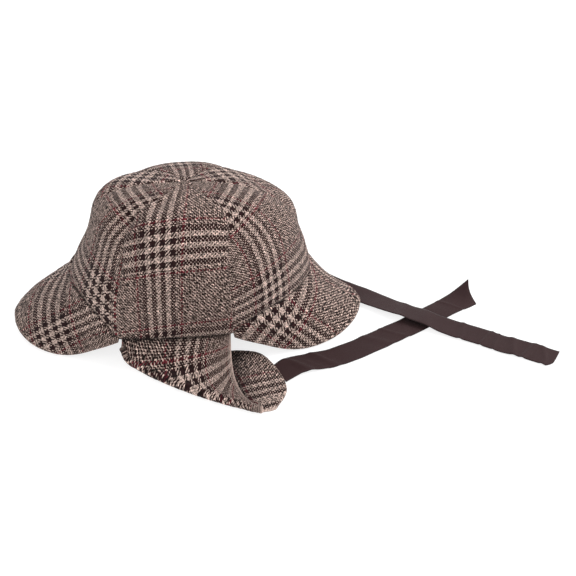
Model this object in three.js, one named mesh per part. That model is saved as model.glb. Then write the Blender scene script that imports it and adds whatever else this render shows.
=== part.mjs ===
// A plaid tweed deerstalker, lying on its turned-under ear flaps.
// Six gores make the crown. A brim hangs from each end, and an ear flap from each side.
// Each flap is turned under along a slanting fold, and its ribbon lies loose on the surface.
// Millimetres, +Z up. The origin is on the surface, under the middle of the hat.
// +X runs toward the front brim, and -Y toward the near flap.
import * as THREE from "three";
import { mergeVertices } from "three/addons/utils/BufferGeometryUtils.js";

// Driving sizes
const halfLength = 103; // of the head opening, front to back
const halfWidth = 75; // of the head opening, ear to ear
const frontTip = 149; // how far the front brim reaches from the crown's middle
const backTip = 152.5; // how far the back brim reaches
const crownWall = 2; // one layer of tweed on its backing
const brimWall = 3; // two layers of tweed over a stiffener
const flapWall = 2.6; // two layers of tweed
const ribbonWidth = 22.5;
const ribbonWall = 1;
const gap = 0.5; // between gores that are sewn together
const brimGap = 0.7; // between the crown's edge and a brim
const widestEdge = 0.3; // most of a gore's width that its gap takes, at the middle of the top
const crownToMiddle = (backTip - frontTip) / 2; // puts the outline's middle on the origin

// The crown, as level outlines from below the rim up to the middle of the top.
// ends and ears are shares of the head opening, lean moves an outline forward,
// and a roundness under 1 squares it.
const crownOutlines = [
  { z: 14, ends: 1.06, ears: 0.99, lean: 0, round: 0.94 },
  { z: 28, ends: 1.04, ears: 0.99, lean: 0, round: 0.94 },
  { z: 42, ends: 1.01, ears: 0.99, lean: 1, round: 0.94 },
  { z: 56, ends: 0.99, ears: 0.99, lean: 2, round: 0.94 },
  { z: 70, ends: 0.945, ears: 0.975, lean: 3.8, round: 0.94 },
  { z: 84, ends: 0.885, ears: 0.955, lean: 5.4, round: 0.94 },
  { z: 98, ends: 0.85, ears: 0.925, lean: 6.8, round: 0.95 },
  { z: 110, ends: 0.815, ears: 0.87, lean: 6.6, round: 0.96 },
  { z: 120, ends: 0.745, ears: 0.79, lean: 5.4, round: 0.97 },
  { z: 127.5, ends: 0.63, ears: 0.67, lean: 5, round: 0.98 },
  { z: 132.2, ends: 0.46, ears: 0.49, lean: 3, round: 1 },
  { z: 134.4, ends: 0.24, ears: 0.25, lean: 1.5, round: 1 },
  { z: 134.9, ends: 0.014, ears: 0.018, lean: 1, round: 1 },
];

// Azimuths of the six seams, in degrees, at even steps from the rim up to the middle of the top
const seams = [
  { front: 0, frontFar: 70.7, backFar: 121, back: 180, backNear: 239, frontNear: 289.3 },
  { front: 0, frontFar: 71.3, backFar: 125, back: 180, backNear: 235, frontNear: 288.7 },
  { front: 0, frontFar: 71, backFar: 129.5, back: 180, backNear: 230.5, frontNear: 289 },
  { front: 0, frontFar: 62.5, backFar: 132.5, back: 180, backNear: 227.5, frontNear: 297.5 },
  { front: 0, frontFar: 58, backFar: 114, back: 180, backNear: 246, frontNear: 302 },
];
const seamOrder = ["front", "frontFar", "backFar", "back", "backNear", "frontNear"];
const frontCorner = seams[0].frontFar; // azimuth where the front brim meets an ear flap
const backCorner = seams[0].backFar;

// Soft dents, pushed in toward a point inside, or out where the depth is negative: azimuth and
// its spread in degrees, level and its rise as shares of the way from rim to top
const dentCentre = 70; // height of that point
const dentFade = 0.25; // share of the way over which dents fade out to the middle of the top
const dents = [
  { name: "low far side of the top", azimuth: 90, spread: 60, level: 0.8, rise: 0.25, depth: 3.2 },
  { name: "soft far front shoulder", azimuth: 24, spread: 34, level: 0.64, rise: 0.16, depth: 11 },
  { name: "soft far back shoulder", azimuth: 148, spread: 22, level: 0.8, rise: 0.13, depth: 1.5 },
  { name: "bulge at the top's far front", azimuth: 62, spread: 20, level: 0.85, rise: 0.12, depth: -1.8 },
  { name: "bulge at the top's far back", azimuth: 128, spread: 13, level: 0.85, rise: 0.1, depth: -1.2 },
  { name: "pinch at the near back shoulder", azimuth: 225, spread: 9, level: 0.66, rise: 0.09, depth: 7 },
  { name: "groove beside the near back seam", azimuth: 243, spread: 8, level: 0.84, rise: 0.06, depth: 4 },
];
const gorePuff = 2.6; // how far a gore swells between its seams
const seamSink = 1.3; // how far the seams lie in
const puffFade = 0.25; // share of the way over which the swelling starts and ends

// Heights of the rim at each end, in even steps of azimuth from the ear flap's corner to the middle
const rims = [
  { back: 23, front: 30 },
  { back: 32.8, front: 40.5 },
  { back: 40.5, front: 45.5 },
  { back: 46, front: 48 },
  { back: 49.6, front: 49.2 },
  { back: 51.4, front: 50 },
  { back: 52, front: 50.2 },
  { back: 51.8, front: 50 },
  { back: 51.5, front: 49.8 },
];
const earRise = 3; // of the rim's middle over an ear, above its two corners

// A brim's outer edge, from a corner to its tip: the share of the way out, the distance
// to the side, and the height as a share of the corner's height
const brimEdge = [
  { out: 0.0, side: 67, height: 0.88 },
  { out: 0.16, side: 66, height: 0.62 },
  { out: 0.34, side: 59.5, height: 0.22 },
  { out: 0.5, side: 55, height: 0.045 },
  { out: 0.65, side: 50, height: 0.04 },
  { out: 0.79, side: 41, height: 0.075 },
  { out: 0.9, side: 29, height: 0.16 },
  { out: 0.97, side: 15.5, height: 0.25 },
  { out: 1.0, side: 0, height: 0.29 },
];

// The near ear flap, in sections along its fold from the back to the tip: its place along
// the rim, where the hanging cloth meets the surface, the fold, and the turned-under edge
const flapSections = [
  { along: 0, layX: -56, layY: -67, foldX: -56.5, foldY: -68, foldZ: 17, edgeX: -54, edgeY: -66 },
  { along: 0.1, layX: -51, layY: -71, foldX: -52, foldY: -74, foldZ: 8, edgeX: -49, edgeY: -69 },
  { along: 0.22, layX: -40, layY: -73, foldX: -43, foldY: -78.5, foldZ: 3.9, edgeX: -38, edgeY: -71 },
  { along: 0.36, layX: -25, layY: -81, foldX: -27, foldY: -91.5, foldZ: 3.9, edgeX: -20, edgeY: -69 },
  { along: 0.5, layX: -10, layY: -91, foldX: -8, foldY: -104.5, foldZ: 3.9, edgeX: 0, edgeY: -65 },
  { along: 0.64, layX: 5, layY: -101, foldX: 12, foldY: -116.5, foldZ: 3.9, edgeX: 21, edgeY: -59.5 },
  { along: 0.76, layX: 16.5, layY: -109, foldX: 29, foldY: -125.3, foldZ: 3.9, edgeX: 42, edgeY: -57 },
  { along: 0.85, layX: 24, layY: -115.5, foldX: 41, foldY: -131, foldZ: 3.9, edgeX: 60.5, edgeY: -63 },
  { along: 0.92, layX: 28.5, layY: -120, foldX: 49, foldY: -134.8, foldZ: 3.9, edgeX: 73.8, edgeY: -86 },
  { along: 0.97, layX: 31, layY: -123, foldX: 54, foldY: -136.4, foldZ: 3.9, edgeX: 79.3, edgeY: -110.5 },
  { along: 1, layX: 32, layY: -125, foldX: 58.5, foldY: -138, foldZ: 3.9, edgeX: 70, edgeY: -132.5 },
];
const rollRadius = 2.6;
const hangEnd = 0.5; // share of a section that hangs, before the roll
const rollEnd = 0.65; // share at which the turned-under part starts
const tuckHeight = 4; // of flap sewn inside the crown, above the rim
const tuckDepth = 3.6; // how far inside the crown's wall
const tuckMargin = 0.03; // share of the rim over the ear that the flap leaves free at each end
const hangSlant = 0.22; // how far the cloth swings out as it hangs down
const hangFoot = 0.04; // share of the hang that is left where it bends outward
const laySag = 0.6; // how far the cloth sags where it meets the surface
const standHeight = 18; // of a fold that stands on edge

// Routes of the two ribbons' middles; tilt lifts the left edge, in degrees
const nearRoute = [
  { x: 80.3, y: -85.6, z: 1.6, tilt: 0 },
  { x: 88.5, y: -80, z: 2.2, tilt: 0 },
  { x: 104, y: -75, z: 1.2, tilt: 0 },
  { x: 121, y: -69.8, z: 0.5, tilt: 0 },
  { x: 139, y: -60.8, z: 0.5, tilt: 0 },
  { x: 156, y: -50.8, z: 0.5, tilt: 0 },
  { x: 173, y: -40.6, z: 0.5, tilt: 0 },
  { x: 193, y: -28.3, z: 0.5, tilt: 0 },
  { x: 213, y: -13.7, z: 0.5, tilt: 0 },
  { x: 229, y: -2.3, z: 0.5, tilt: 0 },
  { x: 242, y: 5.6, z: 1.8, tilt: 9 },
  { x: 254, y: 11.3, z: 6.5, tilt: 31 },
];
const farRoute = [
  { x: 80.5, y: 83, z: 0.5, tilt: 0 },
  { x: 103, y: 61.4, z: 0.5, tilt: 0 },
  { x: 130, y: 36.4, z: 0.5, tilt: 0 },
  { x: 153, y: 18.8, z: 1.4, tilt: -2 },
  { x: 171, y: 2.8, z: 3, tilt: -6 },
  { x: 185, y: -8.6, z: 4.2, tilt: -9 },
  { x: 203, y: -21, z: 4, tilt: -7 },
  { x: 223, y: -33.3, z: 2, tilt: -2 },
  { x: 249, y: -47.3, z: 0.5, tilt: 0 },
  { x: 266, y: -58.8, z: 0.5, tilt: 0 },
  { x: 278, y: -64.8, z: 0.5, tilt: 0 },
  { x: 289, y: -71, z: 0.5, tilt: 0 },
  { x: 304, y: -80.4, z: 0.5, tilt: 0 },
];

// Squares along and across each kind of piece
const goreMesh = { columns: 10, rows: 15 };
const brimMesh = { columns: 30, rows: 5 };
const flapMesh = { columns: 20, rows: 20 };
const ribbonMesh = { columns: 40, rows: 4 };

const tweed = { color: 0x7d6a62, roughness: 0.95, metalness: 0 };
const grosgrain = { color: 0x4a3a3b, roughness: 0.7, metalness: 0 };

const nearby = 0.01; // share of a table's length over which a direction is taken
const radians = THREE.MathUtils.degToRad;
const clamp = THREE.MathUtils.clamp;
const mix = THREE.MathUtils.lerp;

// A row between the rows of a table, on a smooth curve through them; t runs from 0 to 1.
function rowAt(rows, t) {
  const last = rows.length - 1;
  const place = clamp(t, 0, 1) * last;
  const i = Math.min(Math.floor(place), last - 1);
  const f = place - i;
  const row = {};
  for (const key of Object.keys(rows[i])) {
    const b = rows[i][key];
    const c = rows[i + 1][key];
    const a = i > 0 ? rows[i - 1][key] : 2 * b - c;
    const d = i + 2 <= last ? rows[i + 2][key] : 2 * c - b;
    row[key] = b + 0.5 * f * (c - a + f * (2 * a - 5 * b + 4 * c - d + f * (3 * (b - c) + d - a)));
  }
  return row;
}

// A table that runs on past its last row and back to its first
function thereAndBack(rows) {
  return [...rows, ...rows.slice(0, -1).reverse()];
}

// A closed sheet of even thickness. place(u, v) gives its face, and the thickness lies
// from outward to outward - 1 walls along the face's normal. Nothing goes below the surface.
function sheet(name, material, squares, wall, outward, place) {
  const geometry = new THREE.BoxGeometry(1, 1, 1, squares.columns, squares.rows, 1);
  geometry.deleteAttribute("normal");
  geometry.deleteAttribute("uv");
  const merged = mergeVertices(geometry);
  const spots = merged.getAttribute("position");
  const step = 1e-3;
  for (let i = 0; i < spots.count; i += 1) {
    const u = spots.getX(i) + 0.5;
    const v = spots.getY(i) + 0.5;
    const side = spots.getZ(i) + 0.5;
    const across = place(Math.min(u + step, 1), v).sub(place(Math.max(u - step, 0), v));
    const up = place(u, Math.min(v + step, 1)).sub(place(u, Math.max(v - step, 0)));
    const normal = across.cross(up).normalize();
    const spot = place(u, v).addScaledVector(normal, wall * (side - 1 + outward));
    spots.setXYZ(i, spot.x, spot.y, Math.max(spot.z, 0));
  }
  merged.computeVertexNormals();
  const mesh = new THREE.Mesh(merged, new THREE.MeshStandardMaterial(material));
  mesh.name = name;
  return mesh;
}

// Height of the rim at an azimuth in degrees
function rimHeight(azimuth) {
  const turned = THREE.MathUtils.euclideanModulo(azimuth, 360);
  const fromFront = Math.min(turned, 360 - turned);
  if (fromFront > frontCorner && fromFront < backCorner) {
    const share = (fromFront - frontCorner) / (backCorner - frontCorner);
    return mix(rims[0].front, rims[0].back, share) + earRise * 4 * share * (1 - share);
  }
  if (fromFront <= frontCorner) return rowAt(thereAndBack(rims), (1 - fromFront / frontCorner) / 2).front;
  return rowAt(thereAndBack(rims), (1 - (180 - fromFront) / (180 - backCorner)) / 2).back;
}

// How far up the crown's table of outlines a height is; the table rises all the way
function outlineShare(z) {
  let low = 0;
  let high = 1;
  while (high - low > 1e-6) {
    const middle = (low + high) / 2;
    if (rowAt(crownOutlines, middle).z < z) low = middle;
    else high = middle;
  }
  return low;
}

// A point on one of the crown's outlines
function onOutline(share, azimuth) {
  const row = rowAt(crownOutlines, share);
  const cos = Math.cos(radians(azimuth));
  const sin = Math.sin(radians(azimuth));
  return new THREE.Vector3(
    crownToMiddle + row.lean + halfLength * row.ends * Math.sign(cos) * Math.abs(cos) ** row.round,
    halfWidth * row.ears * Math.sign(sin) * Math.abs(sin) ** row.round,
    row.z,
  );
}

const rimShares = new Map();
function rimShare(azimuth) {
  const key = azimuth.toFixed(4);
  if (!rimShares.has(key)) rimShares.set(key, outlineShare(rimHeight(azimuth)));
  return rimShares.get(key);
}

function rimPoint(azimuth) {
  return onOutline(rimShare(azimuth), azimuth);
}

// A bump that is 1 at its middle and fades out over about its spread
function bell(distance, spread) {
  return Math.exp(-((distance / spread) ** 2));
}

// The crown's outer face: v runs across gore number g, and k from the rim to the middle of the top.
function onGore(g, v, k) {
  const seam = seamOrder[g];
  const next = seamOrder[(g + 1) % seamOrder.length];
  const turn = next === "front" ? 360 : 0;
  const level = rowAt(seams, k);
  const azimuth = mix(level[seam], level[next] + turn, v);
  const atRim = mix(seams[0][seam], seams[0][next] + turn, v);
  const spot = onOutline(mix(rimShare(atRim), 1, k), azimuth);
  const swell = gorePuff * (1 - Math.abs(2 * v - 1) ** 3) - seamSink;
  let push = -swell * Math.min(1, k / puffFade, (1 - k) / puffFade);
  const fade = THREE.MathUtils.smoothstep(1 - k, 0, dentFade);
  for (const dent of dents) {
    const away = THREE.MathUtils.euclideanModulo(azimuth - dent.azimuth + 180, 360) - 180;
    push += fade * dent.depth * bell(away, dent.spread) * bell(k - dent.level, dent.rise);
  }
  const outward = spot.clone().sub(new THREE.Vector3(crownToMiddle, 0, dentCentre)).normalize();
  return spot.addScaledVector(outward, -push);
}

function gore(name, g) {
  return sheet(name, tweed, goreMesh, crownWall, 0, (u, k) => {
    const halfWide = Math.max(onGore(g, 0.5, k).distanceTo(onGore(g, 0, k)), gap);
    const edge = Math.min(gap / 2 / halfWide, widestEdge);
    return onGore(g, mix(edge, 1 - edge, u), k);
  });
}

// A brim: u runs from its near corner to its far one, and w outward. side is 1 at the front.
function brim(name, side) {
  const corner = side > 0 ? frontCorner : 180 - backCorner;
  const cornerSpot = rimPoint(side > 0 ? frontCorner : backCorner);
  const tip = side > 0 ? crownToMiddle + frontTip : crownToMiddle - backTip;
  const edges = thereAndBack(brimEdge);
  return sheet(name, tweed, brimMesh, brimWall, 0, (share, w) => {
    const u = side * (2 * share - 1);
    const inner = rimPoint(side > 0 ? corner * u : 180 - corner * u);
    const row = rowAt(edges, (1 - u) / 2);
    const widen = 1 + (Math.abs(cornerSpot.y) / brimEdge[0].side - 1) * u * u;
    const outer = new THREE.Vector3(
      mix(cornerSpot.x, tip, row.out),
      row.side * widen * Math.sign(u),
      cornerSpot.z * row.height,
    );
    const way = outer.clone().sub(inner).normalize();
    inner.addScaledVector(way, brimGap);
    return inner.lerp(outer, w);
  });
}

const faceUp = new THREE.Vector3(0, 0, 1); // the way the cloth faces where it lies
const faceOut = new THREE.Vector3(0.1, -1, 0.1); // and where it hangs

// The near ear flap's middle layer: a runs along the fold, and v from the rim, down, round the
// fold and back under to the free edge.
function onFlap(a, v) {
  const row = rowAt(flapSections, a);
  const before = rowAt(flapSections, Math.max(a - nearby, 0));
  const after = rowAt(flapSections, Math.min(a + nearby, 1));
  const alongFold = new THREE.Vector3(
    after.foldX - before.foldX,
    after.foldY - before.foldY,
    after.foldZ - before.foldZ,
  ).normalize();
  const hanging = clamp((row.foldZ - rollRadius - flapWall / 2) / standHeight, 0, 1);
  const outward = faceUp.clone().lerp(faceOut, hanging).normalize();
  const onward = alongFold.clone().cross(outward).normalize();
  const middle = new THREE.Vector3(row.foldX, row.foldY, row.foldZ).addScaledVector(onward, -rollRadius);
  const rollTop = middle.clone().addScaledVector(outward, rollRadius);
  const rollFoot = middle.clone().addScaledVector(outward, -rollRadius);
  if (v <= hangEnd) {
    const alongRim = mix(tuckMargin, 1 - tuckMargin, row.along);
    const root = rimPoint(mix(seams[0].backNear, seams[0].frontNear, alongRim));
    root.x -= crownToMiddle;
    root.y += tuckDepth + crownWall;
    root.z += tuckHeight;
    const dropZ = mix(rollTop.z, root.z, hangFoot);
    const drop = new THREE.Vector3(root.x, root.y - hangSlant * (root.z - dropZ), dropZ);
    const lay = new THREE.Vector3(row.layX, row.layY, rollTop.z - laySag);
    return new THREE.CubicBezierCurve3(root, drop, lay, rollTop).getPoint(v / hangEnd);
  }
  if (v <= rollEnd) {
    const turn = ((v - hangEnd) / (rollEnd - hangEnd)) * Math.PI;
    return middle
      .addScaledVector(onward, rollRadius * Math.sin(turn))
      .addScaledVector(outward, rollRadius * Math.cos(turn));
  }
  const edge = new THREE.Vector3(row.edgeX, row.edgeY, hanging > 0 ? rollFoot.z : flapWall / 2);
  return rollFoot.lerp(edge, (v - rollEnd) / (1 - rollEnd));
}

// side is -1 for the near flap and 1 for its mirror image behind the hat.
function flap(name, side) {
  return sheet(name, tweed, flapMesh, flapWall, 0.5, (u, v) => {
    const spot = onFlap(side < 0 ? u : 1 - u, 1 - v);
    return new THREE.Vector3(spot.x + crownToMiddle, -side * spot.y, spot.z);
  });
}

// A flat ribbon along its route, tilted where it rides over something
function ribbon(name, route) {
  return sheet(name, grosgrain, ribbonMesh, ribbonWall, 0.5, (u, v) => {
    const row = rowAt(route, u);
    const before = rowAt(route, Math.max(u - nearby, 0));
    const after = rowAt(route, Math.min(u + nearby, 1));
    const heading = Math.atan2(after.y - before.y, after.x - before.x);
    const aside = (v - 0.5) * ribbonWidth;
    const flat = aside * Math.cos(radians(row.tilt));
    return new THREE.Vector3(
      crownToMiddle + row.x - flat * Math.sin(heading),
      row.y + flat * Math.cos(heading),
      row.z + aside * Math.sin(radians(row.tilt)),
    );
  });
}

const hat = new THREE.Group();
hat.add(
  gore("gore_front_far", 0),
  gore("gore_side_far", 1),
  gore("gore_back_far", 2),
  gore("gore_back_near", 3),
  gore("gore_side_near", 4),
  gore("gore_front_near", 5),
  brim("brim_front", 1),
  brim("brim_back", -1),
  flap("ear_flap_near", -1),
  flap("ear_flap_far", 1),
  ribbon("ribbon_near", nearRoute),
  ribbon("ribbon_far", farRoute),
);

export default hat;
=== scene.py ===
import math

import bpy
import numpy as np
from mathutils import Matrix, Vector


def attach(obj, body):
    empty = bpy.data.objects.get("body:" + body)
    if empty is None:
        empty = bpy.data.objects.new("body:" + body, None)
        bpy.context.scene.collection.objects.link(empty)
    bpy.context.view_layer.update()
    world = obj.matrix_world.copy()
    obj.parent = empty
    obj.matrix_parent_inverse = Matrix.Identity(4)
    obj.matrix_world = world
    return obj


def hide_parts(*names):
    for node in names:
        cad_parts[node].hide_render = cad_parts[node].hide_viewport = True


# A plaid tweed deerstalker, lying on its turned-under ear flaps, with its ribbons loose beside it.
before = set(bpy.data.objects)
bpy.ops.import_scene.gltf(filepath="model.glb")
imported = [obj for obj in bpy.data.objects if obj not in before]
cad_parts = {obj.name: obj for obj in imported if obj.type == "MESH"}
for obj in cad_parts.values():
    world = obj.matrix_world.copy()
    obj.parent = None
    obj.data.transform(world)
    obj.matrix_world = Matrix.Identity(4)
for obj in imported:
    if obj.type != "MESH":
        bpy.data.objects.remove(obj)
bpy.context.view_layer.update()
MM = 0.001

# Camera: the eye and what it looks at, in millimetres, and the lens for a square picture
EYE = (46.68, -782.8, 573.6)
LOOKS_AT = (89.55, 35.2, 0.0)
LENS = 67.93
SENSOR = 36.0

# Shape tables that repeat the part's, in millimetres and degrees
HALF_LENGTH = 103.0
HALF_WIDTH = 75.0
FRONT_TIP = 149.0
BACK_TIP = 152.5
TO_MIDDLE = (BACK_TIP - FRONT_TIP) / 2
CROWN_WALL = 2.0
BRIM_WALL = 3.0
FLAP_WALL = 2.6
RIBBON_WIDTH = 22.5
# z, ends, ears, lean, roundness
CROWN_OUTLINES = [
    (14, 1.06, 0.99, 0, 0.94),
    (28, 1.04, 0.99, 0, 0.94),
    (42, 1.01, 0.99, 1, 0.94),
    (56, 0.99, 0.99, 2, 0.94),
    (70, 0.945, 0.975, 3.8, 0.94),
    (84, 0.885, 0.955, 5.4, 0.94),
    (98, 0.85, 0.925, 6.8, 0.95),
    (110, 0.815, 0.87, 6.6, 0.96),
    (120, 0.745, 0.79, 5.4, 0.97),
    (127.5, 0.63, 0.67, 5, 0.98),
    (132.2, 0.46, 0.49, 3, 1),
    (134.4, 0.24, 0.25, 1.5, 1),
    (134.9, 0.014, 0.018, 1, 1),
]
# Azimuths of the seams at even steps from the rim to the middle of the top:
# front, frontFar, backFar, back, backNear, frontNear, front again
SEAMS = [
    (0, 70.7, 121, 180, 239, 289.3, 360),
    (0, 71.3, 125, 180, 235, 288.7, 360),
    (0, 71, 129.5, 180, 230.5, 289, 360),
    (0, 62.5, 132.5, 180, 227.5, 297.5, 360),
    (0, 58, 114, 180, 246, 302, 360),
]
DENT_CENTRE = 70.0
DENT_FADE = 0.25
# azimuth, spread, level, rise, depth
DENTS = [
    (90, 60, 0.8, 0.25, 3.2),
    (24, 34, 0.64, 0.16, 11),
    (148, 22, 0.8, 0.13, 1.5),
    (62, 20, 0.85, 0.12, -1.8),
    (128, 13, 0.85, 0.1, -1.2),
    (225, 9, 0.66, 0.09, 7),
    (243, 8, 0.84, 0.06, 4),
]
GORE_PUFF = 2.6
SEAM_SINK = 1.3
PUFF_FADE = 0.25
# back, front
RIMS = [
    (23, 30),
    (32.8, 40.5),
    (40.5, 45.5),
    (46, 48),
    (49.6, 49.2),
    (51.4, 50),
    (52, 50.2),
    (51.8, 50),
    (51.5, 49.8),
]
EAR_RISE = 3.0
# out, side, height
BRIM_EDGE = [
    (0, 67, 0.88),
    (0.16, 66, 0.62),
    (0.34, 59.5, 0.22),
    (0.5, 55, 0.045),
    (0.65, 50, 0.04),
    (0.79, 41, 0.075),
    (0.9, 29, 0.16),
    (0.97, 15.5, 0.25),
    (1, 0, 0.29),
]
# along, layX, layY, foldX, foldY, foldZ, edgeX, edgeY
FLAP_SECTIONS = [
    (0, -56, -67, -56.5, -68, 17, -54, -66),
    (0.1, -51, -71, -52, -74, 8, -49, -69),
    (0.22, -40, -73, -43, -78.5, 3.9, -38, -71),
    (0.36, -25, -81, -27, -91.5, 3.9, -20, -69),
    (0.5, -10, -91, -8, -104.5, 3.9, 0, -65),
    (0.64, 5, -101, 12, -116.5, 3.9, 21, -59.5),
    (0.76, 16.5, -109, 29, -125.3, 3.9, 42, -57),
    (0.85, 24, -115.5, 41, -131, 3.9, 60.5, -63),
    (0.92, 28.5, -120, 49, -134.8, 3.9, 73.8, -86),
    (0.97, 31, -123, 54, -136.4, 3.9, 79.3, -110.5),
    (1, 32, -125, 58.5, -138, 3.9, 70, -132.5),
]
ROLL_RADIUS = 2.6
HANG_END = 0.5
ROLL_END = 0.65
TUCK_HEIGHT = 4.0
TUCK_DEPTH = 3.6
TUCK_MARGIN = 0.03
HANG_SLANT = 0.22
HANG_FOOT = 0.04
LAY_SAG = 0.6
STAND_HEIGHT = 18.0
# x, y, z, tilt
NEAR_ROUTE = [
    (80.3, -85.6, 1.6, 0),
    (88.5, -80, 2.2, 0),
    (104, -75, 1.2, 0),
    (121, -69.8, 0.5, 0),
    (139, -60.8, 0.5, 0),
    (156, -50.8, 0.5, 0),
    (173, -40.6, 0.5, 0),
    (193, -28.3, 0.5, 0),
    (213, -13.7, 0.5, 0),
    (229, -2.3, 0.5, 0),
    (242, 5.6, 1.8, 9),
    (254, 11.3, 6.5, 31),
]
FAR_ROUTE = [
    (80.5, 83, 0.5, 0),
    (103, 61.4, 0.5, 0),
    (130, 36.4, 0.5, 0),
    (153, 18.8, 1.4, -2),
    (171, 2.8, 3, -6),
    (185, -8.6, 4.2, -9),
    (203, -21, 4, -7),
    (223, -33.3, 2, -2),
    (249, -47.3, 0.5, 0),
    (266, -58.8, 0.5, 0),
    (278, -64.8, 0.5, 0),
    (289, -71, 0.5, 0),
    (304, -80.4, 0.5, 0),
]
# Sizes that only the dressed pieces have, in millimetres or, where it says so, as shares
RIBBON_WALL = 0.8
RIBBON_EASE = 1.06  # the share of its declared width that a ribbon is drawn with
SEAM_LAP = 0.012  # the share by which each gore is wider than its place, so that its seams close
BRIM_LAP = 1.2  # how far each brim reaches under the crown's edge
TIP_BULGE = 0.8  # how far the end of a flap's tip rounds out
TIP_FROM = 0.86  # the share of the fold's length at which that starts
EDGE_STITCH = 3.4  # how far in from a free edge its first row of stitches lies
STITCH_DEPTH = 0.3
FRONT_SAG = 4.4
BACK_SAG = 2.4
BACK_CURL = 2.8
LEAST_FILL = 0.06  # the share of its wall that is left at a piece's thinnest edge
# Unevenness of the cloth: size of the lumps, height, seed
LUMPS = [
    (22.0, 0.35, 3),
    (2.4, 0.13, 5),
    (1.2, 0.08, 8),
]
# How the gores close on the middle of the top
TOP_HEIGHT = 135.0
CLOSE_FROM = 0.965
CLOSE_SHARE = 0.9
# Which way the outer side of a flap's hanging part faces
HANG_FACING = (0.1, -1, 0.1)
TABLE_STEP = 0.01  # how far to each side of a place in a table its direction is taken
# How many squares each kind of piece is drawn with, across and up
GORE_SQUARES = (110, 120)
BRIM_SQUARES = (200, 60)
FLAP_SQUARES = (120, 140)
# Rounding of the left, right, first and last edges, and how much wear each of them has
GORE_ROUNDING = (1.8, 1.8, 1, 0)
GORE_WEAR = (0.3, 0.3, 0.1, 0)
BRIM_ROUNDING = (1.5, 1.5, 0, 1.5)
BRIM_WEAR = (1, 1, 0, 1)
FLAP_ROUNDING = (1.3, 1.3, 1.3, 1.3)
FLAP_WEAR = {-1: (1, 4, 1, 0), 1: (4, 1, 1, 0)}
WEAR_REACH = 1.3
FLAP_WIDTH = 93.0  # along the rim
# The floor glows a little, like a light table, so that shadows on it stay faint
FLOOR_COLOUR = (0.32, 0.32, 0.32, 1)
FLOOR_GLOW = 0.78
FLOOR_HALF = 4.0  # metres
FLOOR_DEPTH = 0.0001  # metres below the hat
# How much further than square each ribbon's cut end reaches, from its right edge to its left
NEAR_CUT = [(-2.6,), (-3,), (-2.8,), (-1.2,), (1.8,)]
NEAR_START = [(10,), (5,)]
FAR_CUT = [(-1.5,), (2.6,), (3.2,), (3.2,), (3,)]
FAR_START = [(0,), (0,)]
# Creases across the ribbons: how far along each is, its slant, its spread and its rise
NEAR_CREASES = [
    (20, 0.9, 5, 1.3),
    (38, 1.1, 3.5, -0.8),
    (46, 0.8, 3, 0.7),
    (96, 0.7, 4, 0.7),
    (112, 0.5, 1.6, 0.5),
    (122, -0.6, 3, 0.5),
    (168, 0.5, 1.5, 0.5),
]
FAR_CREASES = [
    (120, 0.3, 6, 0.6),
    (143, 0.5, 8, 0.9),
    (173, 0.1, 1.4, 0.8),
    (192, -0.1, 1.6, 0.7),
    (202, 0.2, 1.3, 0.5),
    (226, 0.5, 6, 0.9),
    (251, -0.4, 4, 0.9),
    (268, 0.5, 2.5, 0.7),
]

# Shapes
def unit(v):
    return v / np.maximum(np.linalg.norm(v, axis=-1, keepdims=True), 1e-9)


def smoothstep(x, low, high):
    x = np.clip((x - low) / (high - low), 0, 1)
    return x * x * (3 - 2 * x)


def bell(distance, spread):
    return np.exp(-((distance / spread) ** 2))


def row_at(rows, t):
    """A row between the rows of a table, on a smooth curve through them; t runs from 0 to 1."""
    rows = np.asarray(rows, float)
    last = len(rows) - 1
    place = np.clip(t, 0, 1) * last
    i = np.minimum(np.floor(place).astype(int), last - 1)
    f = (place - i)[..., None]
    b, c = rows[i], rows[i + 1]
    a = np.where((i > 0)[..., None], rows[np.maximum(i - 1, 0)], 2 * b - c)
    d = np.where((i + 2 <= last)[..., None], rows[np.minimum(i + 2, last)], 2 * c - b)
    return b + 0.5 * f * (c - a + f * (2 * a - 5 * b + 4 * c - d + f * (3 * (b - c) + d - a)))


def there_and_back(rows):
    return list(rows) + list(rows[-2::-1])


def rim_height(azimuth):
    from_front = np.minimum(azimuth % 360, 360 - azimuth % 360)
    front, back = SEAMS[0][1], SEAMS[0][2]
    s = (from_front - front) / (back - front)
    ear = RIMS[0][1] + (RIMS[0][0] - RIMS[0][1]) * s + EAR_RISE * 4 * s * (1 - s)
    at_front = from_front <= front
    share = np.where(at_front, from_front / front, (180 - from_front) / (180 - back))
    row = row_at(there_and_back(RIMS), (1 - np.clip(share, 0, 1)) / 2)
    end = np.where(at_front, row[..., 1], row[..., 0])
    return np.where((from_front > front) & (from_front < back), ear, end)


SHARES = np.linspace(0, 1, 4001)
LEVELS = row_at(CROWN_OUTLINES, SHARES)[:, 0]


def on_outline(share, azimuth):
    row = row_at(CROWN_OUTLINES, share)
    c, s = np.cos(np.radians(azimuth)), np.sin(np.radians(azimuth))
    x = TO_MIDDLE + row[..., 3] + HALF_LENGTH * row[..., 1] * np.sign(c) * np.abs(c) ** row[..., 4]
    y = HALF_WIDTH * row[..., 2] * np.sign(s) * np.abs(s) ** row[..., 4]
    return np.stack([x, y, row[..., 0]], -1)


def rim_share(azimuth):
    return np.interp(rim_height(azimuth), LEVELS, SHARES)


def rim_point(azimuth):
    azimuth = np.asarray(azimuth, float)
    return on_outline(rim_share(azimuth), azimuth)


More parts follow.
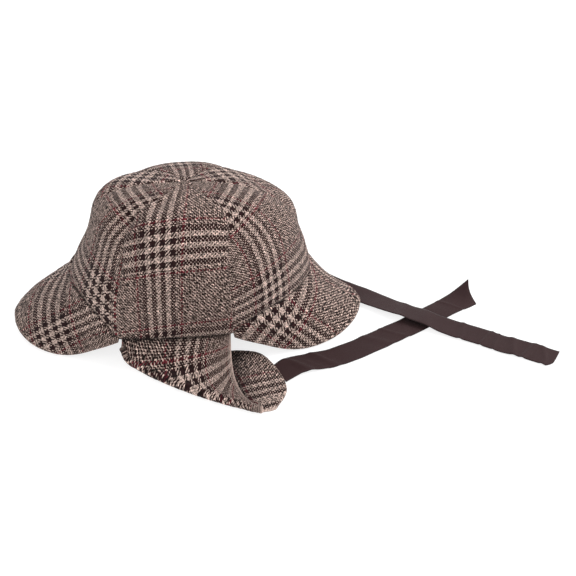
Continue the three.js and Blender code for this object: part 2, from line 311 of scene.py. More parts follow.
def gore_place(g):
    """The outer face of gore g: u runs across it, and k from the rim to the middle of the top."""
    def place(u, k):
        u = 0.5 + (u - 0.5) * (1 + SEAM_LAP)
        level = row_at(SEAMS, k)
        azimuth = level[..., g] + (level[..., g + 1] - level[..., g]) * u
        at_rim = SEAMS[0][g] + (SEAMS[0][g + 1] - SEAMS[0][g]) * u
        share = rim_share(at_rim)
        spot = on_outline(share + (1 - share) * k, azimuth)
        ends = np.minimum(1, np.minimum(k / PUFF_FADE, (1 - k) / PUFF_FADE))
        push = -(GORE_PUFF * (1 - np.abs(2 * u - 1) ** 3) - SEAM_SINK) * ends
        fade = smoothstep(1 - k, 0, DENT_FADE)
        for at, spread, middle, rise, depth in DENTS:
            away = (azimuth - at + 180) % 360 - 180
            push = push + fade * depth * bell(away, spread) * bell(k - middle, rise)
        centre = np.array([TO_MIDDLE, 0, DENT_CENTRE])
        spot = spot - unit(spot - centre) * push[..., None]
        top = np.array([TO_MIDDLE + 1, 0, TOP_HEIGHT])
        return spot + (top - spot) * (CLOSE_SHARE * smoothstep(k, CLOSE_FROM, 1))[..., None]
    return place


def brim_place(side):
    """A brim's lower face: share runs along it, and w from the crown outward; side is 1 at the front."""
    corner = SEAMS[0][1] if side > 0 else 180 - SEAMS[0][2]
    corner_spot = rim_point(corner if side > 0 else 180 - corner)
    tip = TO_MIDDLE + FRONT_TIP if side > 0 else TO_MIDDLE - BACK_TIP

    def place(share, w):
        u = side * (2 * share - 1)
        inner = rim_point(corner * u if side > 0 else 180 - corner * u)
        inner = inner - BRIM_LAP * unit(inner * np.array([1, 1, 0.0]))
        row = row_at(there_and_back(BRIM_EDGE), (1 - u) / 2)
        widen = 1 + (abs(corner_spot[1]) / BRIM_EDGE[0][1] - 1) * u * u
        x = corner_spot[0] + (tip - corner_spot[0]) * row[..., 0]
        outer = np.stack([x, row[..., 1] * widen * np.sign(u), corner_spot[2] * row[..., 2]], -1)
        return inner + (outer - inner) * w[..., None]
    return place


def on_flap(a, v):
    """The near flap's middle layer: a runs along the fold, and v from the rim, round it, to the edge."""
    row = row_at(FLAP_SECTIONS, a)
    ahead = row_at(FLAP_SECTIONS, np.minimum(a + TABLE_STEP, 1))
    behind = row_at(FLAP_SECTIONS, np.maximum(a - TABLE_STEP, 0))
    along = unit((ahead - behind)[..., 3:6])
    fold = row[..., 3:6]
    hanging = np.clip((fold[..., 2:] - ROLL_RADIUS - FLAP_WALL / 2) / STAND_HEIGHT, 0, 1)
    outward = unit(np.array([0, 0, 1.0]) * (1 - hanging) + np.array(HANG_FACING) * hanging)
    onward = unit(np.cross(along, outward))
    middle = fold - ROLL_RADIUS * onward
    top = middle + ROLL_RADIUS * outward
    foot = middle - ROLL_RADIUS * outward
    near_back, near_front = SEAMS[0][4], SEAMS[0][5]
    along_rim = TUCK_MARGIN + (1 - 2 * TUCK_MARGIN) * row[..., 0]
    root = rim_point(near_back + (near_front - near_back) * along_rim)
    root = root + np.array([-TO_MIDDLE, TUCK_DEPTH + CROWN_WALL, TUCK_HEIGHT])
    drop_z = top[..., 2] + HANG_FOOT * (root[..., 2] - top[..., 2])
    drop = np.stack([root[..., 0], root[..., 1] - HANG_SLANT * (root[..., 2] - drop_z), drop_z], -1)
    lay = np.stack([row[..., 1], row[..., 2], top[..., 2] - LAY_SAG], -1)
    t = np.clip(v / HANG_END, 0, 1)[..., None]
    hang = root * (1 - t) ** 3 + 3 * drop * t * (1 - t) ** 2 + 3 * lay * t * t * (1 - t) + top * t**3
    turn = (np.clip((v - HANG_END) / (ROLL_END - HANG_END), 0, 1) * np.pi)[..., None]
    roll = middle + ROLL_RADIUS * (onward * np.sin(turn) + outward * np.cos(turn))
    edge_z = np.where(hanging > 0, foot[..., 2:], FLAP_WALL / 2)
    edge = np.concatenate([row[..., 6:8], edge_z], -1)
    back = np.clip((v - ROLL_END) / (1 - ROLL_END), 0, 1)[..., None]
    under = foot + (edge - foot) * back
    round_tip = TIP_BULGE * 4 * back * (1 - back) * smoothstep(row[..., 0], TIP_FROM, 1)[..., None]
    under = under + round_tip * unit(np.cross(edge - foot, np.array([0, 0, 1.0])))
    v = v[..., None]
    return np.where(v <= HANG_END, hang, np.where(v <= ROLL_END, roll, under))


def flap_place(side):
    """side is -1 for the near flap and 1 for its mirror image behind the hat."""
    def place(u, v):
        spot = on_flap(u if side < 0 else 1 - u, 1 - v)
        return np.stack([spot[..., 0] + TO_MIDDLE, -side * spot[..., 1], spot[..., 2]], -1)
    return place


def normals(place, u, v):
    step = 1e-3
    across = place(np.minimum(u + step, 1), v) - place(np.maximum(u - step, 0), v)
    up = place(u, np.minimum(v + step, 1)) - place(u, np.maximum(v - step, 0))
    return unit(np.cross(across, up))


def runs(grid, axis):
    """Lengths along a grid of points, from its start and to its end."""
    steps = np.linalg.norm(np.diff(grid, axis=axis), axis=-1)
    run = np.cumsum(steps, axis=axis)
    first = np.zeros_like(np.take(run, [0], axis=axis))
    run = np.concatenate([first, run], axis=axis)
    return run, np.take(run, [-1], axis=axis) - run


FLAT_SQUARES = 36
FLAT_ROUNDS = 1500
FLAT_HASTE = 1.6


def flatten(place):
    """Lays a piece of cloth out flat with little stretch, as a grid of points in millimetres. The
    middle of its first edge is at the origin, and its middle line runs up from there. A flap comes
    out wrong: a fifth of its squares turn over, so its area is too small."""
    t = np.linspace(0, 1, FLAT_SQUARES + 1)
    u, v = np.meshgrid(t, t)
    solid = place(u, v)
    half = FLAT_SQUARES // 2
    across = runs(solid, 1)[0]
    flat = np.stack([across - across[:, half : half + 1], runs(solid, 0)[0]], -1)
    links = []
    for down, right in ((0, 1), (1, 0), (1, 1), (1, -1)):
        rows = np.arange(FLAT_SQUARES + 1 - down)
        columns = np.arange(max(0, -right), FLAT_SQUARES + 1 - max(0, right))
        r, c = [x.ravel() for x in np.meshgrid(rows, columns, indexing="ij")]
        links.append(np.stack([r * (FLAT_SQUARES + 1) + c, (r + down) * (FLAT_SQUARES + 1) + c + right], 1))
    links = np.concatenate(links)
    points = solid.reshape(-1, 3)
    want = np.linalg.norm(points[links[:, 0]] - points[links[:, 1]], axis=1)
    count = np.bincount(links.ravel(), minlength=len(points))[:, None]
    flat = flat.reshape(-1, 2)
    for _ in range(FLAT_ROUNDS):
        gap = flat[links[:, 1]] - flat[links[:, 0]]
        length = np.maximum(np.linalg.norm(gap, axis=1), 1e-6)
        pull = gap * ((length - want) / length)[:, None] * 0.5
        move = np.zeros_like(flat)
        for axis in (0, 1):
            move[:, axis] += np.bincount(links[:, 0], pull[:, axis], len(flat))
            move[:, axis] -= np.bincount(links[:, 1], pull[:, axis], len(flat))
        flat = flat + FLAT_HASTE * move / count
    flat = flat.reshape(FLAT_SQUARES + 1, FLAT_SQUARES + 1, 2)
    flat = flat - flat[0, half]
    way = flat[-1, half] / np.linalg.norm(flat[-1, half])
    turn = np.array([[way[1], way[0]], [-way[0], way[1]]])
    return flat @ turn


def spread(table, u, v):
    """Values between the points of an even grid."""
    last = table.shape[0] - 1
    x, y = np.clip(u, 0, 1) * last, np.clip(v, 0, 1) * last
    i, j = np.minimum(x.astype(int), last - 1), np.minimum(y.astype(int), last - 1)
    fx, fy = (x - i)[..., None], (y - j)[..., None]
    low = table[j, i] * (1 - fx) + table[j, i + 1] * fx
    high = table[j + 1, i] * (1 - fx) + table[j + 1, i + 1] * fx
    return low * (1 - fy) + high * fy


WAVE_COUNT = 9
WAVE_SPREAD = (0.6, 1.5)


def waves(points, size, seed):
    """Smooth unevenness from -1 to 1, with lumps of about the given size, the same on every run."""
    draw = np.random.default_rng(seed)
    total = np.zeros(points.shape[:-1])
    for _ in range(WAVE_COUNT):
        way = unit(draw.normal(size=3)) * draw.uniform(*WAVE_SPREAD) * math.pi / size
        total += np.cos(points @ way + draw.uniform(0, 2 * math.pi))
    return np.clip(total / 4, -1, 1)


# Camera and light
scene = bpy.context.scene
scene.view_settings.view_transform = "Standard"
lens = bpy.data.cameras.new("camera")
lens.lens = LENS
lens.sensor_width = SENSOR
camera = bpy.data.objects.new("camera", lens)
camera.location = Vector(EYE) * MM
camera.rotation_euler = (Vector(LOOKS_AT) - Vector(EYE)).to_track_quat("-Z", "Y").to_euler()
scene.collection.objects.link(camera)
scene.camera = camera

WORLD_LIGHT = 0.7
# name, place in metres, size in metres, power in watts
LAMPS = [
    ("key", (1.8, 0.1, 1.4), 1.2, 42),
    ("fill", (-0.4, -1.5, 1.5), 1.6, 15),
    ("back", (-0.6, 1.3, 1.3), 1.4, 8),
]


def lights():
    world = bpy.data.worlds.new("world")
    world.use_nodes = True
    world.node_tree.nodes["Background"].inputs[0].default_value = (1, 1, 1, 1)
    world.node_tree.nodes["Background"].inputs[1].default_value = WORLD_LIGHT
    scene.world = world
    for name, place, size, power in LAMPS:
        lamp = bpy.data.lights.new(name, "AREA")
        lamp.size = size
        lamp.energy = power
        item = bpy.data.objects.new(name, lamp)
        item.location = place
        item.rotation_euler = (-Vector(place)).to_track_quat("-Z", "Y").to_euler()
        scene.collection.objects.link(item)


lights()


# Materials
SPECULAR = 0.12


class Shader:
    """Builds one material. An input may be a number, a colour or another node's output."""

    def __init__(self, name):
        self.material = bpy.data.materials.new(name)
        self.material.use_nodes = True
        self.nodes = self.material.node_tree.nodes
        self.links = self.material.node_tree.links
        self.nodes.clear()

    def add(self, kind, inputs=None, **settings):
        node = self.nodes.new("ShaderNode" + kind)
        for key, value in settings.items():
            setattr(node, key, value)
        for key, value in (inputs or {}).items():
            if isinstance(value, bpy.types.NodeSocket):
                self.links.new(value, node.inputs[key])
            else:
                node.inputs[key].default_value = value
        return node

    def math(self, operation, *values):
        return self.add("Math", dict(enumerate(values)), operation=operation).outputs[0]

    def sum(self, *values):
        total = values[0]
        for value in values[1:]:
            total = self.math("ADD", total, value)
        return total

    def times(self, *values):
        total = values[0]
        for value in values[1:]:
            total = self.math("MULTIPLY", total, value)
        return total

    def tone(self, value, least, more):
        """A brightness: the least one where the value is 0, and so much more where it is 1."""
        return self.sum(least, self.times(value, more))

    def remap(self, value, low, high, to_low, to_high):
        return self.add("MapRange", {0: value, 1: low, 2: high, 3: to_low, 4: to_high}).outputs[0]

    def between(self, share, a, b):
        return self.add("Mix", {0: share, 2: a, 3: b}).outputs[0]

    def spot(self, x, y, z=0.0):
        return self.add("CombineXYZ", {0: x, 1: y, 2: z}).outputs[0]

    def noise(self, where, scale, detail=2.0, rough=0.5):
        node = self.add("TexNoise", {"Vector": where, "Scale": scale, "Detail": detail, "Roughness": rough})
        return node.outputs[0]

    def chance(self, number):
        return self.add("TexWhiteNoise", {"W": number}, noise_dimensions="1D").outputs[0]

    def blend(self, share, a, b):
        node = self.add("Mix", {0: share, 6: a, 7: b}, data_type="RGBA")
        return node.outputs[2]

    def shade(self, colour, value):
        node = self.add("Mix", {0: 1.0, 6: colour, 7: value}, data_type="RGBA", blend_type="MULTIPLY")
        return node.outputs[2]

    def finish(self, colour, rough, bump, sheen, sheen_rough):
        surface = self.add("BsdfPrincipled", {"Base Color": colour, "Roughness": rough, "Normal": bump})
        surface.inputs["Sheen Weight"].default_value = sheen
        surface.inputs["Sheen Roughness"].default_value = sheen_rough
        surface.inputs["Specular IOR Level"].default_value = SPECULAR
        self.add("OutputMaterial", {0: surface.outputs[0]})
        return self.material


# Tweed: sizes in metres, and the order of its threads
WARP_PITCH = 0.000647
WEFT_PITCH = 0.00088
REPEAT = 120  # threads, both ways
BAND = 42  # threads in a repeat that lie in broad stripes, dark first
STRIPE = 6
WARP_LINE = 42  # the first of two light threads beside the broad stripes
WEFT_LINE = 118
RED_LINES = (49, 113)  # middles of the burgundy lines
RED_HALF = 1.6
LIGHT_YARN = (0.60, 0.455, 0.395, 1)
MARL_YARN = (0.49, 0.365, 0.315, 1)  # the light yarn between the bands
DARK_YARN = (0.022, 0.0068, 0.0075, 1)
RED_YARN = (0.13, 0.018, 0.026, 1)
# Unevenness of the tweed. A scale counts lumps for each metre.
WANDER = 0.0015  # how far the threads stray, in metres
WANDER_SCALES = (230.0, 310.0)  # across and up
SLUB_SCALE = 420.0
SLUB_APART = 3.7  # how far apart neighbouring threads lie in the slubs' noise
SLUB_RANGE = (0.36, 0.66, 0.5, 1.4)  # the noise from low to high, and the tones that it gives
HATCH_SCALES = (440.0, 210.0)  # along the twill's two diagonals
MOTTLE_RANGE = (0.38, 0.62, 0.05, 1.75)  # as above
BAND_CALM = 0.35  # how much of the mottle the bands lose
FIBRE_SCALE = 5200.0
PATCH_SCALE = 26.0
# Tones of the tweed: the least one, and what is added to it
THREAD_TONES = (0.86, 0.28)
# painted shade: the tweed is darkened in the hollows where its threads dip
THREAD_SHADE_TONES = (0.14, 1.2)
FIBRE_TONES = (0.62, 0.76)
PATCH_TONES = (0.9, 0.2)
THREAD_ENDS = (0.35, 0.65)  # height of a thread where it dips, and what it gains on top
HAZE = (0.004, 0.22)  # share of pale fluff on plain cloth, and what wear adds
MOST_HAZE = 0.8
FIBRE_RELIEF = 0.8
TWEED_BUMP = 0.75
TWEED_DEPTH = 0.00035


def tweed_material():
    s = Shader("tweed")
    cloth = s.add("UVMap", uv_map="cloth").outputs[0]
    drift_across, drift_up = [s.noise(cloth, scale) for scale in WANDER_SCALES]
    split = s.add("SeparateXYZ", {0: cloth})
    across = s.math("ADD", split.outputs[0], s.times(s.math("SUBTRACT", drift_across, 0.5), WANDER))
    up = s.math("ADD", split.outputs[1], s.times(s.math("SUBTRACT", drift_up, 0.5), WANDER))
    warp_at = s.math("DIVIDE", across, WARP_PITCH)
    weft_at = s.math("DIVIDE", up, WEFT_PITCH)
    warp = s.math("FLOOR", warp_at)
    weft = s.math("FLOOR", weft_at)
    in_warp = s.math("SUBTRACT", warp_at, warp)
    in_weft = s.math("SUBTRACT", weft_at, weft)
    step = s.math("FLOORED_MODULO", s.math("SUBTRACT", warp, weft), 4.0)
    warp_on_top = s.math("LESS_THAN", step, 1.5)

    def thread(number, line, salt, along):
        place = s.math("FLOORED_MODULO", number, float(REPEAT))
        broad = s.math("GREATER_THAN", s.math("FLOORED_MODULO", place, 2.0 * STRIPE), STRIPE - 0.5)
        fine = s.math("GREATER_THAN", s.math("FLOORED_MODULO", place, 2.0), 0.5)
        in_band = s.math("LESS_THAN", place, BAND - 0.5)
        light = s.sum(s.times(broad, in_band), s.times(fine, s.math("SUBTRACT", 1.0, in_band)))
        light = s.math("MAXIMUM", light, s.math("COMPARE", place, line + 0.5, 0.6))
        red = s.math("MAXIMUM", *[s.math("COMPARE", place, float(middle), RED_HALF) for middle in RED_LINES])
        colour = s.blend(light, DARK_YARN, s.blend(in_band, MARL_YARN, LIGHT_YARN))
        colour = s.blend(red, colour, RED_YARN)
        even = s.tone(s.chance(s.sum(number, salt)), *THREAD_TONES)
        slub_at = s.spot(s.times(number, SLUB_APART), s.times(along, SLUB_SCALE), salt)
        uneven = s.remap(s.noise(slub_at, 1.0, 3.0, 0.6), *SLUB_RANGE)
        return s.shade(colour, s.times(even, uneven)), in_band

    warp_colour, warp_band = thread(warp, WARP_LINE, 0.25, up)
    weft_colour, weft_band = thread(weft, WEFT_LINE, 1000.25, across)
    colour = s.blend(warp_on_top, weft_colour, warp_colour)

    def crown(share):
        return s.math("SUBTRACT", 1.0, s.math("POWER", s.math("SUBTRACT", s.times(share, 2.0), 1.0), 2.0))

    warp_long = s.times(s.math("ADD", s.math("SUBTRACT", 1.0, step), in_weft), 0.5)
    weft_long = s.times(s.math("ADD", s.math("SUBTRACT", step, 2.0), in_warp), 0.5)
    warp_high = s.times(crown(in_warp), s.tone(crown(warp_long), *THREAD_ENDS))
    weft_high = s.times(crown(in_weft), s.tone(crown(weft_long), *THREAD_ENDS))
    height = s.between(warp_on_top, weft_high, warp_high)
    fibre = s.noise(cloth, FIBRE_SCALE, 3.0, 0.7)
    # Painted shade in the hollows between the threads.
    colour = s.shade(colour, s.tone(height, *THREAD_SHADE_TONES))
    rising = s.times(s.sum(across, up), HATCH_SCALES[0])
    falling = s.times(s.math("SUBTRACT", across, up), HATCH_SCALES[1])
    mottle = s.remap(s.noise(s.spot(rising, falling), 1.0, 2.0, 0.6), *MOTTLE_RANGE)
    striped = s.times(s.math("MAXIMUM", warp_band, weft_band), BAND_CALM)
    colour = s.shade(colour, s.between(striped, mottle, 1.0))
    colour = s.shade(colour, s.tone(fibre, *FIBRE_TONES))
    wear_and_painted_shade = s.add("Attribute", attribute_name="wear_and_painted_shade").outputs[2]
    hazy = s.math("MINIMUM", s.tone(s.math("MAXIMUM", wear_and_painted_shade, 0.0), *HAZE), MOST_HAZE)
    colour = s.blend(hazy, colour, LIGHT_YARN)
    # Painted shade: where this attribute is below zero, the colour is darkened. That happens along the
    # crown's rim and seams, under the crown and beside the flaps' folds.
    colour = s.shade(colour, s.math("MINIMUM", s.sum(wear_and_painted_shade, 1.0), 1.0))
    colour = s.shade(colour, s.tone(s.noise(cloth, PATCH_SCALE), *PATCH_TONES))
    relief = s.sum(height, s.times(fibre, FIBRE_RELIEF))
    bump = s.add("Bump", {"Strength": TWEED_BUMP, "Distance": TWEED_DEPTH, "Height": relief}).outputs[0]
    return s.finish(colour, 0.95, bump, 0.08, 0.35)


# Ribbon: colours and sizes in metres
RIBBON_COLOUR = (0.031, 0.0147, 0.0152, 1)
SELVEDGE_COLOUR = (0.018, 0.010, 0.0105, 1)
SELVEDGE = 0.0007
RIB = 0.00055
RIBBON_TONES = (0.72, 0.36, 0.2, 0.08)  # the least one, and what streaks, clouds and ribs add
RIBBON_BUMP = 0.5
RIBBON_DEPTH = 0.00012


def ribbon_material():
    s = Shader("grosgrain")
    cloth = s.add("UVMap", uv_map="cloth").outputs[0]
    split = s.add("SeparateXYZ", {0: cloth})
    along, side = split.outputs[0], split.outputs[1]
    from_edge = s.math("SUBTRACT", RIBBON_WIDTH * MM / 2, s.math("ABSOLUTE", side))
    edge = s.remap(from_edge, 0.0, SELVEDGE * 1.6, 1.0, 0.0)
    streak = s.noise(s.spot(s.times(along, 45.0), s.times(side, 2600.0)), 1.0, 3.0, 0.6)
    cloudy = s.noise(s.spot(s.times(along, 30.0), s.times(side, 60.0)), 1.0)
    rib = s.math("SINE", s.times(along, 2 * math.pi / RIB))
    colour = s.blend(edge, RIBBON_COLOUR, SELVEDGE_COLOUR)
    least, streaks, clouds, ribs = RIBBON_TONES
    tone = s.sum(least, s.times(streak, streaks), s.times(cloudy, clouds), s.times(rib, ribs))
    colour = s.shade(colour, tone)
    relief = s.sum(s.times(rib, 0.5), s.times(streak, 0.6))
    bump = s.add("Bump", {"Strength": RIBBON_BUMP, "Distance": RIBBON_DEPTH, "Height": relief}).outputs[0]
    rough = s.sum(0.5, s.times(streak, 0.2))
    return s.finish(colour, rough, bump, 0.1, 0.4)


def floor_material():
    s = Shader("floor")
    where = s.add("NewGeometry").outputs[0]
    colour = s.shade(FLOOR_COLOUR, s.sum(0.98, s.times(s.noise(where, 3.0), 0.02)))
    flat = s.add("NewGeometry").outputs[1]
    material = s.finish(colour, 0.9, flat, 0.0, 0.5)
    surface = material.node_tree.nodes["Principled BSDF"]
    surface.inputs["Emission Color"].default_value = (1, 1, 1, 1)
    surface.inputs["Emission Strength"].default_value = FLOOR_GLOW
    return material


TWEED = tweed_material()
GROSGRAIN = ribbon_material()


# Making the pieces
def spaced(count, crowding=0.7):
    """Places from 0 to 1, closer together at both ends."""
    t = np.linspace(0, 1, count + 1)
    return t - crowding * np.sin(2 * math.pi * t) / (2 * math.pi)


def rounded(distance, radius):
    if not radius:
        return 1.0
    return np.sqrt(1 - (1 - np.clip(distance / radius, 0, 1)) ** 2)


def skin(name, faces, cloth, wear_and_painted_shade, material):
    """A closed mesh from two grids of points, face and back, with cloth coordinates in metres."""
    rows, columns = faces[0].shape[:2]
    size = rows * columns
    ids = np.arange(size).reshape(rows, columns)
    quad = np.stack([ids[:-1, :-1], ids[:-1, 1:], ids[1:, 1:], ids[1:, :-1]], -1).reshape(-1, 4)
    around = np.concatenate([ids[0, :-1], ids[:-1, -1], ids[-1, :0:-1], ids[:0:-1, 0]])
    onward = np.roll(around, -1)
    wall = np.stack([around, around + size, onward + size, onward], -1)
    quads = np.concatenate([quad, quad[:, ::-1] + size, wall])
    points = np.concatenate([face.reshape(-1, 3) for face in faces]) * MM
    points[:, 2] = np.maximum(points[:, 2], 0.0)
    mesh = bpy.data.meshes.new(name)
    mesh.from_pydata(points.tolist(), [], quads.tolist())
    flat = np.concatenate([part.reshape(-1, 2) for part in cloth]) * MM
    corners = np.zeros(len(mesh.loops), int)
    mesh.loops.foreach_get("vertex_index", corners)
    layer = mesh.uv_layers.new(name="cloth")
    layer.data.foreach_set("uv", flat[corners].ravel())
    mark = mesh.attributes.new("wear_and_painted_shade", "FLOAT", "POINT")
    mark.data.foreach_set("value", np.concatenate([wear_and_painted_shade.ravel(), wear_and_painted_shade.ravel()]))
    mesh.polygons.foreach_set("use_smooth", [True] * len(mesh.polygons))
    mesh.materials.append(material)
    mesh.update()
    item = bpy.data.objects.new(name, mesh)
    scene.collection.objects.link(item)
    return item


BOW_SIZE = 50.0


def laid(flat, cut):
    """Where a piece lies in the plaid, across and up. Each is counted along its own way."""
    found = []
    for way, at, stretch, bow, fan, swell in cut:
        c, s = math.cos(math.radians(way)), math.sin(math.radians(way))
        along = flat[..., 0] * c + flat[..., 1] * s
        aside = flat[..., 1] * c - flat[..., 0] * s
        bend = (bow * aside**2 + fan * along * aside + swell * along**2) / BOW_SIZE**2
        found.append(at + stretch * along + bend)
    return np.stack(found, -1)


def cloth_piece(name, place, squares, wall, outward, radii, free, cuts, detail, shade_and_seam_darkening=None,
                hung=None):
    """One piece of cloth in the place of the node of the same name. radii round its left, right, first and
    last edges, and free says how much wear each of them has. The optional darkening function paints shade
    into it where shade falls, in creases and under overhanging parts, and also darkens the crown's seams.
    hung lays its face out by the distance from its last edge, for cloth that hangs in a fan."""
    u, v = np.meshgrid(spaced(squares[0]), spaced(squares[1]))
    face = place(u, v)
    normal = normals(place, u, v)
    from_left, from_right = runs(face, 1)
    from_first, from_last = runs(face, 0)
    edges = (from_left, from_right, from_first, from_last)
    fill = np.ones_like(u)
    wear_and_painted_shade = np.zeros_like(u)
    for distance, radius, bare in zip(edges, radii, free):
        fill = fill * rounded(distance, radius)
        wear_and_painted_shade = np.maximum(wear_and_painted_shade, bare * np.exp(-distance / WEAR_REACH))
    fill = np.maximum(fill, LEAST_FILL)
    front = wall * (outward - 0.5 + 0.5 * fill)
    back = wall * (outward - 0.5 - 0.5 * fill)
    soft = sum(height * waves(face, size, seed) for size, height, seed in LUMPS)
    soft = soft + detail(u, v, edges)
    # Painted shade, and the crown's darker seams, go in as negative wear.
    if shade_and_seam_darkening:
        wear_and_painted_shade = wear_and_painted_shade - shade_and_seam_darkening(u, v, face, edges)
    grids = [face + normal * (part + soft)[..., None] for part in (front, back)]
    flat = flatten(place)
    table = spread(flat, u, v)
    tables = [hung(u, edges) if hung else table, table]
    item = skin(name, grids, [laid(part, cut) for part, cut in zip(tables, cuts)], wear_and_painted_shade, TWEED)
    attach(item, "root")
    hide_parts(name)
    cells = np.cross(flat[1:, 1:] - flat[:-1, :-1], flat[1:, :-1] - flat[:-1, 1:])
    area = abs(cells.sum()) / 2 * MM * MM


def ribbon(name, route, start, cut, creases, seed):
    """A flat ribbon along its route, tilted where it rides over something, with a soft cut end."""
    total = float(runs(np.array(route, float)[None, :, :3], 1)[0][0, -1])
    u, v = np.meshgrid(np.linspace(0, 1, 261), np.linspace(0, 1, 17))
    reach = row_at(cut, v)[..., 0] / total * smoothstep(u, 0.9, 1)

    def place(u, v):
        row = row_at(route, u)
        ahead = row_at(route, np.minimum(u + TABLE_STEP, 1)) - row_at(route, np.maximum(u - TABLE_STEP, 0))
        heading = np.arctan2(ahead[..., 1], ahead[..., 0])
        aside = (v - 0.5) * RIBBON_WIDTH * RIBBON_EASE
        tilt = np.radians(row[..., 3])
        flat = aside * np.cos(tilt)
        x = TO_MIDDLE + row[..., 0] - flat * np.sin(heading)
        return np.stack([x, row[..., 1] + flat * np.cos(heading), row[..., 2] + aside * np.sin(tilt)], -1)

    face = place(u, v)
    ahead = row_at(route, np.ones(1)) - row_at(route, np.full(1, 0.99))
    onward = unit(ahead[..., :3])
    face = face + (reach * total)[..., None] * onward
    behind = row_at(route, np.full(1, 0.01)) - row_at(route, np.zeros(1))
    tuck = row_at(start, v)[..., 0] * smoothstep(1 - u, 0.93, 1)
    face[..., :2] -= tuck[..., None] * unit(behind[..., :2])
    lift = 0.3 * (1 + waves(face, 26.0, seed)) + 0.15 * (1 + waves(face, 9.0, seed + 1))
    for along, slant, size, rise in creases:
        ridge = rise * bell(u * total + slant * (v - 0.5) * RIBBON_WIDTH - along, size)
        lift = lift + np.maximum(ridge, -lift)
    face[..., 2] += lift
    normal = np.array([0, 0, 1.0])
    fill = np.maximum(rounded((0.5 - np.abs(v - 0.5)) * RIBBON_WIDTH, 0.6), LEAST_FILL)[..., None]
    grids = [face + normal * RIBBON_WALL / 2 * fill, face - normal * RIBBON_WALL / 2 * fill]
    along = runs(face, 1)[0]
    flat = np.stack([along, (v - 0.5) * RIBBON_WIDTH], -1)
    item = skin(name, grids, [flat, flat], np.zeros_like(u), GROSGRAIN)
    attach(item, "root")
    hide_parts(name)


ribbon("ribbon_near", NEAR_ROUTE, NEAR_START, NEAR_CUT, NEAR_CREASES, 11)
ribbon("ribbon_far", FAR_ROUTE, FAR_START, FAR_CUT, FAR_CREASES, 17)


def seam_ridges(u, v, edges):
    """The cloth swells a little beside a seam."""
    near = np.minimum(edges[0], edges[1])
    return 0.3 * bell(near - 3.4, 1.7) - 0.25 * bell(edges[2] - 6.5, 0.9)


def painted_rim_shade_and_dark_seams(u, v, face, edges):
    """Painted shade along the crown's lower edge, where the rim's shadow line falls, and a darker line
    beside the seams.
    """
    return 0.75 * bell(edges[2], 2.2) + 0.25 * bell(np.minimum(edges[0], edges[1]), 0.9)


# How each piece lies in the plaid, first across it and then up: the way on the flat cloth in
# degrees, where the middle of the first edge lies in millimetres, stretch, bow, fan and swell
HIDDEN_CUT = ((0, 13.6, 1, 0, 0, 0), (90, 18.5, 1, 0, 0, 0))
GORES = [
    ("gore_front_far", HIDDEN_CUT),
    ("gore_side_far", HIDDEN_CUT),
    ("gore_back_far", HIDDEN_CUT),
    ("gore_back_near", ((3, -2.5, 0.84, -3.1, 12.6, 0), (77, -6.2, 1.22, 4, 5.5, 0))),
    ("gore_side_near", ((-3, 24.1, 1.04, 1.2, -2.9, 0), (100, 28.2, 1.18, 4.2, 1.7, 0))),
    ("gore_front_near", ((-10, 35.1, 1.02, 5.4, 2, 0), (90, -5.4, 1.23, 2.7, 5.4, 0))),
]
for g, (name, cut) in enumerate(GORES):
    cloth_piece(name, gore_place(g), GORE_SQUARES, CROWN_WALL, 0, GORE_ROUNDING, GORE_WEAR,
                (cut, cut), seam_ridges, painted_rim_shade_and_dark_seams)


def brim_stitches(edges):
    """Two rows of stitches run along a brim's outer edge."""
    rows = bell(edges[3] - EDGE_STITCH, 0.6) + bell(edges[3] - 2 * EDGE_STITCH, 0.6)
    return -STITCH_DEPTH * rows


def front_sag(u, w, edges):
    """The front brim sags a little between the crown and its tip."""
    return brim_stitches(edges) + FRONT_SAG * bell(u - 0.55, 0.2) * np.sin(math.pi * w)


def back_lift(u, w, edges):
    """The back brim sags beside the crown, and curls up toward its tip."""
    height = BACK_SAG * bell(w - 0.2, 0.15) - BACK_CURL * bell(w - 0.75, 0.25)
    return brim_stitches(edges) + bell(u - 0.45, 0.2) * height


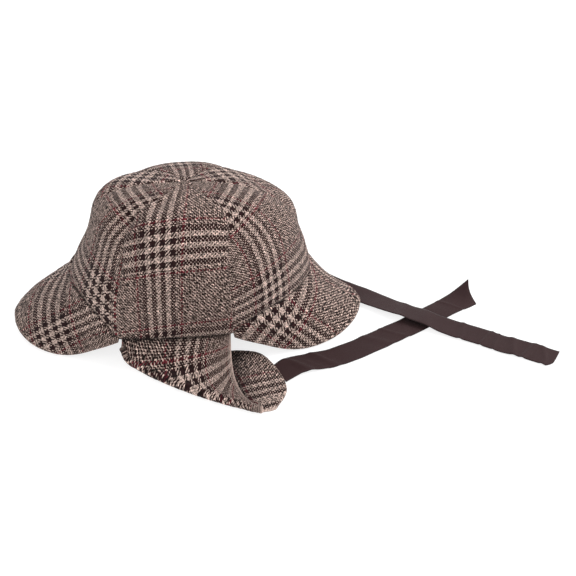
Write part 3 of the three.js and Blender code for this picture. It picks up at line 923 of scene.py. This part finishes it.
BRIMS = [
    ("brim_front", 1, ((-14, 81.8, 0.9, 1, -0.5, 0), (-110, -3.7, 0.97, 0, 0, 0)), front_sag),
    ("brim_back", -1, ((20, -51.9, 1.11, -3.7, -1.6, 0), (-58, 29.3, 0.92, -2.3, 8, 0)), back_lift),
]
for name, side, cut, sag in BRIMS:
    cloth_piece(name, brim_place(side), BRIM_SQUARES, BRIM_WALL, 0, BRIM_ROUNDING, BRIM_WEAR,
                (cut, cut), sag)


def flap_stitches(u, v, edges):
    """A row of stitches runs near the flap's free edges."""
    return -STITCH_DEPTH * bell(np.minimum(np.minimum(edges[0], edges[1]), edges[2]) - EDGE_STITCH, 0.7)


def hung_flap(u, edges):
    """A flap's face as it hangs: its share of the width, and how far it is from the rim."""
    return np.stack([(u - 0.5) * FLAP_WIDTH, edges[3]], -1)


def flap_painted_shade(u, v, face, edges):
    """Painted shade: the cloth is darker where it goes in under the crown, and beside the part folded over
    it, where shade falls.
    """
    hidden = 0.9 * bell(np.maximum(edges[3] - 5.5, 0), 3.5)
    t = np.linspace(0, 1, 60)
    front = flap_place(-1)(np.ones(60), 1 - HANG_END * t)
    over = np.interp(-np.abs(face[..., 1]), front[::-1, 1], front[::-1, 0])
    shaded = (v < 1 - ROLL_END) * (face[..., 0] > over - 4)
    beside = 0.75 * bell(np.maximum(face[..., 0] - over, 0), 11) * shaded
    return np.maximum(hidden, beside)


FLAP_FACE = ((16, 11.2, 1.48, -14.2, 2.6, 12.8), (-81, 66.5, 1.07, -11.1, 30.2, 13.8))
FLAP_BACK = ((-145, 69, 0.89, 2.7, 0.1, 0), (125, 0, 1, 0, 0, 0))
for name, side in (("ear_flap_near", -1), ("ear_flap_far", 1)):
    cloth_piece(name, flap_place(side), FLAP_SQUARES, FLAP_WALL, 0.5, FLAP_ROUNDING, FLAP_WEAR[side],
                (FLAP_FACE, FLAP_BACK), flap_stitches, flap_painted_shade, hung_flap)


def lay_floor():
    mesh = bpy.data.meshes.new("floor")
    corners = [(-1, -1), (1, -1), (1, 1), (-1, 1)]
    points = [(x * FLOOR_HALF, y * FLOOR_HALF, -FLOOR_DEPTH) for x, y in corners]
    mesh.from_pydata(points, [], [(0, 1, 2, 3)])
    mesh.materials.append(floor_material())
    floor = bpy.data.objects.new("floor", mesh)
    scene.collection.objects.link(floor)


lay_floor()
